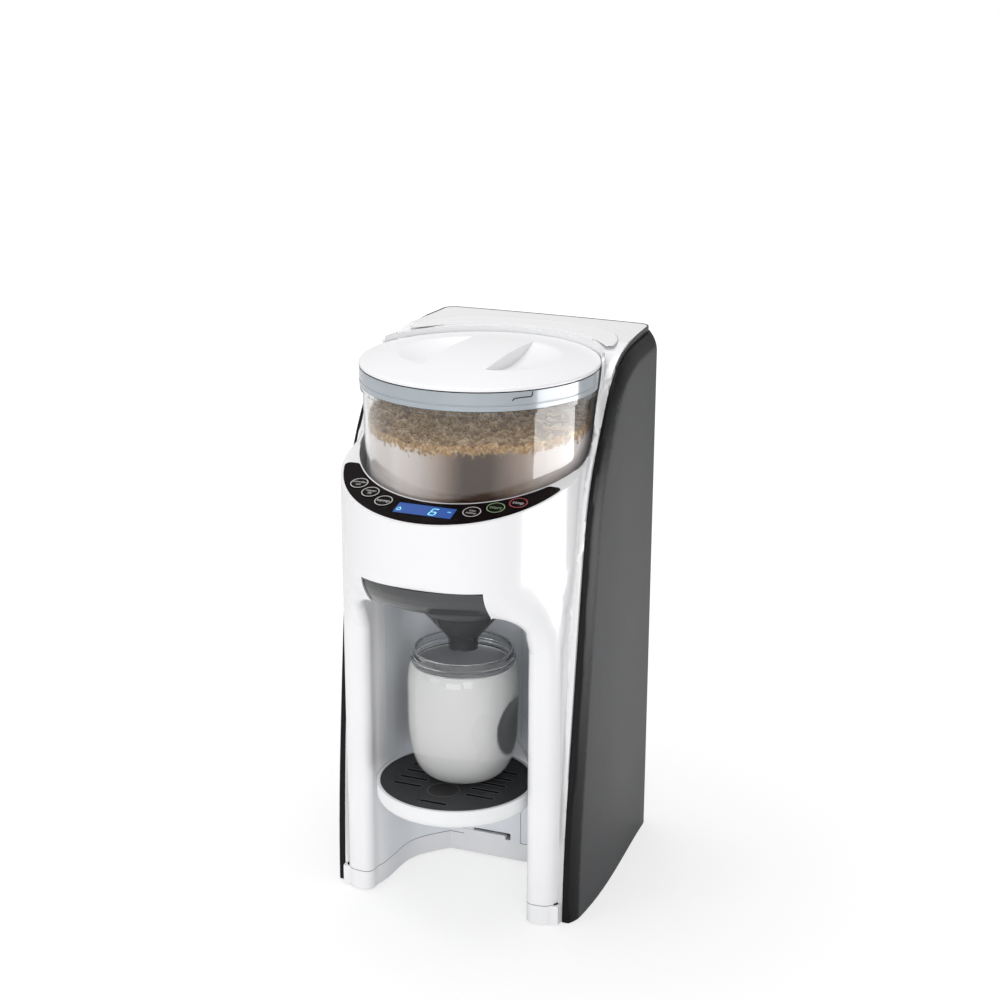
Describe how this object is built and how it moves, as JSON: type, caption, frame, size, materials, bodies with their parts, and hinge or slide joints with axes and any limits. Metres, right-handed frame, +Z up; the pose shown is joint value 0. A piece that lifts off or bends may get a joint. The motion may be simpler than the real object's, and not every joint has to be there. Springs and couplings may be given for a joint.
{
  "type": "baby formula maker",
  "caption": "Countertop formula maker: powder hopper with geared dosing wheel, pull-out funnel, bottle bay with hooked drip tray, rear water tank and a sloping control panel.",
  "frame": {"origin": "middle of the footprint, on the surface it stands on", "axes": "+Z up, front faces -Y, +X to the viewer's right when facing the front"},
  "size_m": [0.1724, 0.226, 0.3596],
  "materials": {
    "white_plastic": "glossy moulded",
    "lid_plastic": "glossy moulded",
    "feet_rubber": "matte",
    "screw_steel": "zinc plated",
    "liner_plastic": "satin moulded",
    "dark_plastic": "satin moulded",
    "grey_plastic": "moulded",
    "panel_plastic": "glossy",
    "display_glass": "backlit",
    "board_green": "circuit board",
    "heater_steel": "satin",
    "tube_rubber": "silicone",
    "gear_steel": "satin",
    "motor_steel": "satin",
    "black_plastic": "matte",
    "clear_plastic": "clear",
    "powder": "granular",
    "smoke_plastic": "smoked clear",
    "frosted_plastic": "frosted",
    "seal_rubber": "silicone",
    "wheel_plastic": "moulded",
    "gear_plastic": "moulded",
    "pinion_brass": "machined",
    "tray_plastic": "satin moulded",
    "tray_dark": "satin moulded",
    "bottle_clear": "clear",
    "milk": "liquid",
    "tank_clear": "smoked clear",
    "button_plastic": "glossy"
  },
  "bodies": {
    "machine": {"base_ring": "white_plastic", "rubber_feet": "feet_rubber", "base_screws": "screw_steel", "front_housing": "white_plastic", "bay_liner": "liner_plastic", "slot_plate": "liner_plastic", "rear_shell": "dark_plastic", "rear_frame": "grey_plastic", "control_panel": "panel_plastic", "lcd_display": "display_glass", "control_board": "board_green", "power_board": "board_green", "water_pump": "grey_plastic", "water_heater": "heater_steel", "feed_tube": "tube_rubber", "hot_water_tube": "tube_rubber", "valve_seat": "grey_plastic", "mixing_head": "grey_plastic", "gear_plate": "gear_steel", "stir_motor": "motor_steel", "power_inlet": "black_plastic", "switch_housing": "black_plastic"},
    "container": {"powder_container": "clear_plastic", "powder_fill": "powder", "outlet_scraper": "smoke_plastic"},
    "ring": {"locking_ring": "frosted_plastic"},
    "lid": {"container_lid": "lid_plastic", "lid_seal": "seal_rubber"},
    "stirrer": {"stirring_wheel": "wheel_plastic", "wheel_nut": "wheel_plastic"},
    "drive": {"drive_shaft": "gear_steel", "drive_coupler": "grey_plastic", "drive_gear": "gear_plastic"},
    "pinion": {"motor_pinion": "pinion_brass"},
    "funnel": {"funnel": "smoke_plastic"},
    "tray": {"tray_dish": "tray_plastic", "tray_insert": "tray_dark"},
    "bottle": {"bottle": "bottle_clear", "bottle_milk": "milk"},
    "tank": {"water_tank": "tank_clear"},
    "tank_lid": {"tank_lid": "white_plastic"},
    "rocker": {"power_rocker": "black_plastic"},
    "button_1": {"button_1": "button_plastic"},
    "button_2": {"button_2": "button_plastic"},
    "button_3": {"button_3": "button_plastic"},
    "button_4": {"button_4": "button_plastic"},
    "button_5": {"button_5": "button_plastic"},
    "button_6": {"button_6": "button_plastic"}
  },
  "joints": [
    {"name": "container_lift", "type": "slide", "parent": "machine", "child": "container", "axis": [0, 0, 1], "range_m": [0, 0.11]},
    {"name": "ring_turn", "type": "hinge", "parent": "container", "child": "ring", "pos_m": [0, -0.011, 0.345], "axis": [0, 0, 1], "range_deg": [0, 25]},
    {"name": "lid_lift", "type": "slide", "parent": "ring", "child": "lid", "axis": [0, 0, 1], "range_m": [0, 0.05]},
    {"name": "stirrer_spin", "type": "hinge", "parent": "container", "child": "stirrer", "pos_m": [0, -0.011, 0.266], "axis": [0, 0, 1], "continuous": true},
    {"name": "drive_spin", "type": "hinge", "parent": "machine", "child": "drive", "pos_m": [0, -0.011, 0.25], "axis": [0, 0, 1], "continuous": true},
    {"name": "pinion_spin", "type": "hinge", "parent": "machine", "child": "pinion", "pos_m": [0.0192, -0.011, 0.25], "axis": [0, 0, 1], "continuous": true},
    {"name": "funnel_slide", "type": "slide", "parent": "machine", "child": "funnel", "axis": [0, -1, 0], "range_m": [0, 0.12]},
    {"name": "tray_slide", "type": "slide", "parent": "machine", "child": "tray", "axis": [0, -1, 0], "range_m": [0, 0.12]},
    {"name": "bottle_slide", "type": "slide", "parent": "tray", "child": "bottle", "axis": [0, -1, 0], "range_m": [0, 0.09]},
    {"name": "tank_slide", "type": "slide", "parent": "machine", "child": "tank", "axis": [0, 1, 0], "range_m": [0, 0.06]},
    {"name": "tank_lid_lift", "type": "slide", "parent": "machine", "child": "tank_lid", "axis": [0, 0, 1], "range_m": [0, 0.04]},
    {"name": "rocker_tilt", "type": "hinge", "parent": "machine", "child": "rocker", "pos_m": [-0.034, 0.1055, 0.028], "axis": [1, 0, 0], "range_deg": [-7, 7]},
    {"name": "button_1_press", "type": "slide", "parent": "machine", "child": "button_1", "axis": [0, 0.2462, -0.9692], "range_m": [0, 0.0006], "stiffness_N_per_m": 600},
    {"name": "button_2_press", "type": "slide", "parent": "machine", "child": "button_2", "axis": [0, 0.2462, -0.9692], "range_m": [0, 0.0006], "stiffness_N_per_m": 600},
    {"name": "button_3_press", "type": "slide", "parent": "machine", "child": "button_3", "axis": [0, 0.2462, -0.9692], "range_m": [0, 0.0006], "stiffness_N_per_m": 600},
    {"name": "button_4_press", "type": "slide", "parent": "machine", "child": "button_4", "axis": [0, 0.2462, -0.9692], "range_m": [0, 0.0006], "stiffness_N_per_m": 600},
    {"name": "button_5_press", "type": "slide", "parent": "machine", "child": "button_5", "axis": [0, 0.2462, -0.9692], "range_m": [0, 0.0006], "stiffness_N_per_m": 600},
    {"name": "button_6_press", "type": "slide", "parent": "machine", "child": "button_6", "axis": [0, 0.2462, -0.9692], "range_m": [0, 0.0006], "stiffness_N_per_m": 600}
  ],
  "couplings": [
    {"joint": "stirrer_spin", "follows": "drive_spin", "ratio": 1},
    {"joint": "pinion_spin", "follows": "drive_spin", "ratio": -3}
  ]
}
